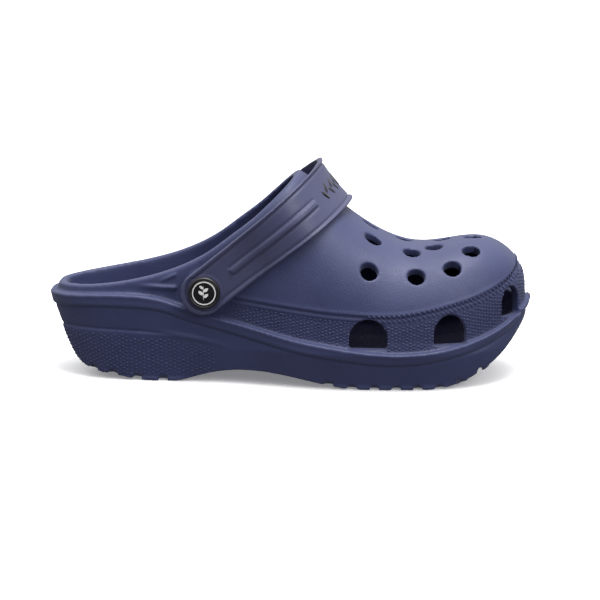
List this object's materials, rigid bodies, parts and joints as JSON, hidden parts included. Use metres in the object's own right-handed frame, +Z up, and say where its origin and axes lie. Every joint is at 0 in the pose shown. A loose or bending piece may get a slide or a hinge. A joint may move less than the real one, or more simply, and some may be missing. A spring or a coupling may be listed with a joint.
{
  "type": "garden clog",
  "caption": "Right-foot moulded foam garden clog with a vented round toe, drain ports above the sole ledge and a heel strap that swings on two snap rivets.",
  "frame": {"origin": "on the ground, under the middle of the shoe's length and width", "axes": "+X to the toe, +Y to the big-toe side of this right shoe, +Z up"},
  "size_m": [0.29, 0.1129, 0.1301],
  "materials": {
    "foam": "satin",
    "strap_foam": "satin",
    "button_plastic": "gloss",
    "badge_print": "gloss",
    "cap_plastic": "satin"
  },
  "bodies": {
    "shoe": {"shell": "foam"},
    "strap": {"heel_strap": "strap_foam"},
    "lateral_rivet": {"lateral_rivet_button": "button_plastic", "lateral_rivet_badge": "badge_print", "lateral_backing_cap": "cap_plastic"},
    "medial_rivet": {"medial_rivet_button": "button_plastic", "medial_rivet_badge": "badge_print", "medial_backing_cap": "cap_plastic"}
  },
  "joints": [
    {"name": "strap_swing", "type": "hinge", "parent": "shoe", "child": "strap", "pos_m": [-0.047, 0, 0.057], "axis": [0, -1, 0], "range_deg": [0, 130]},
    {"name": "lateral_rivet_turn", "type": "hinge", "parent": "shoe", "child": "lateral_rivet", "pos_m": [-0.047, -0.045, 0.057], "axis": [0, -1, 0], "continuous": true},
    {"name": "medial_rivet_turn", "type": "hinge", "parent": "shoe", "child": "medial_rivet", "pos_m": [-0.047, 0.045, 0.057], "axis": [0, 1, 0], "continuous": true}
  ]
}
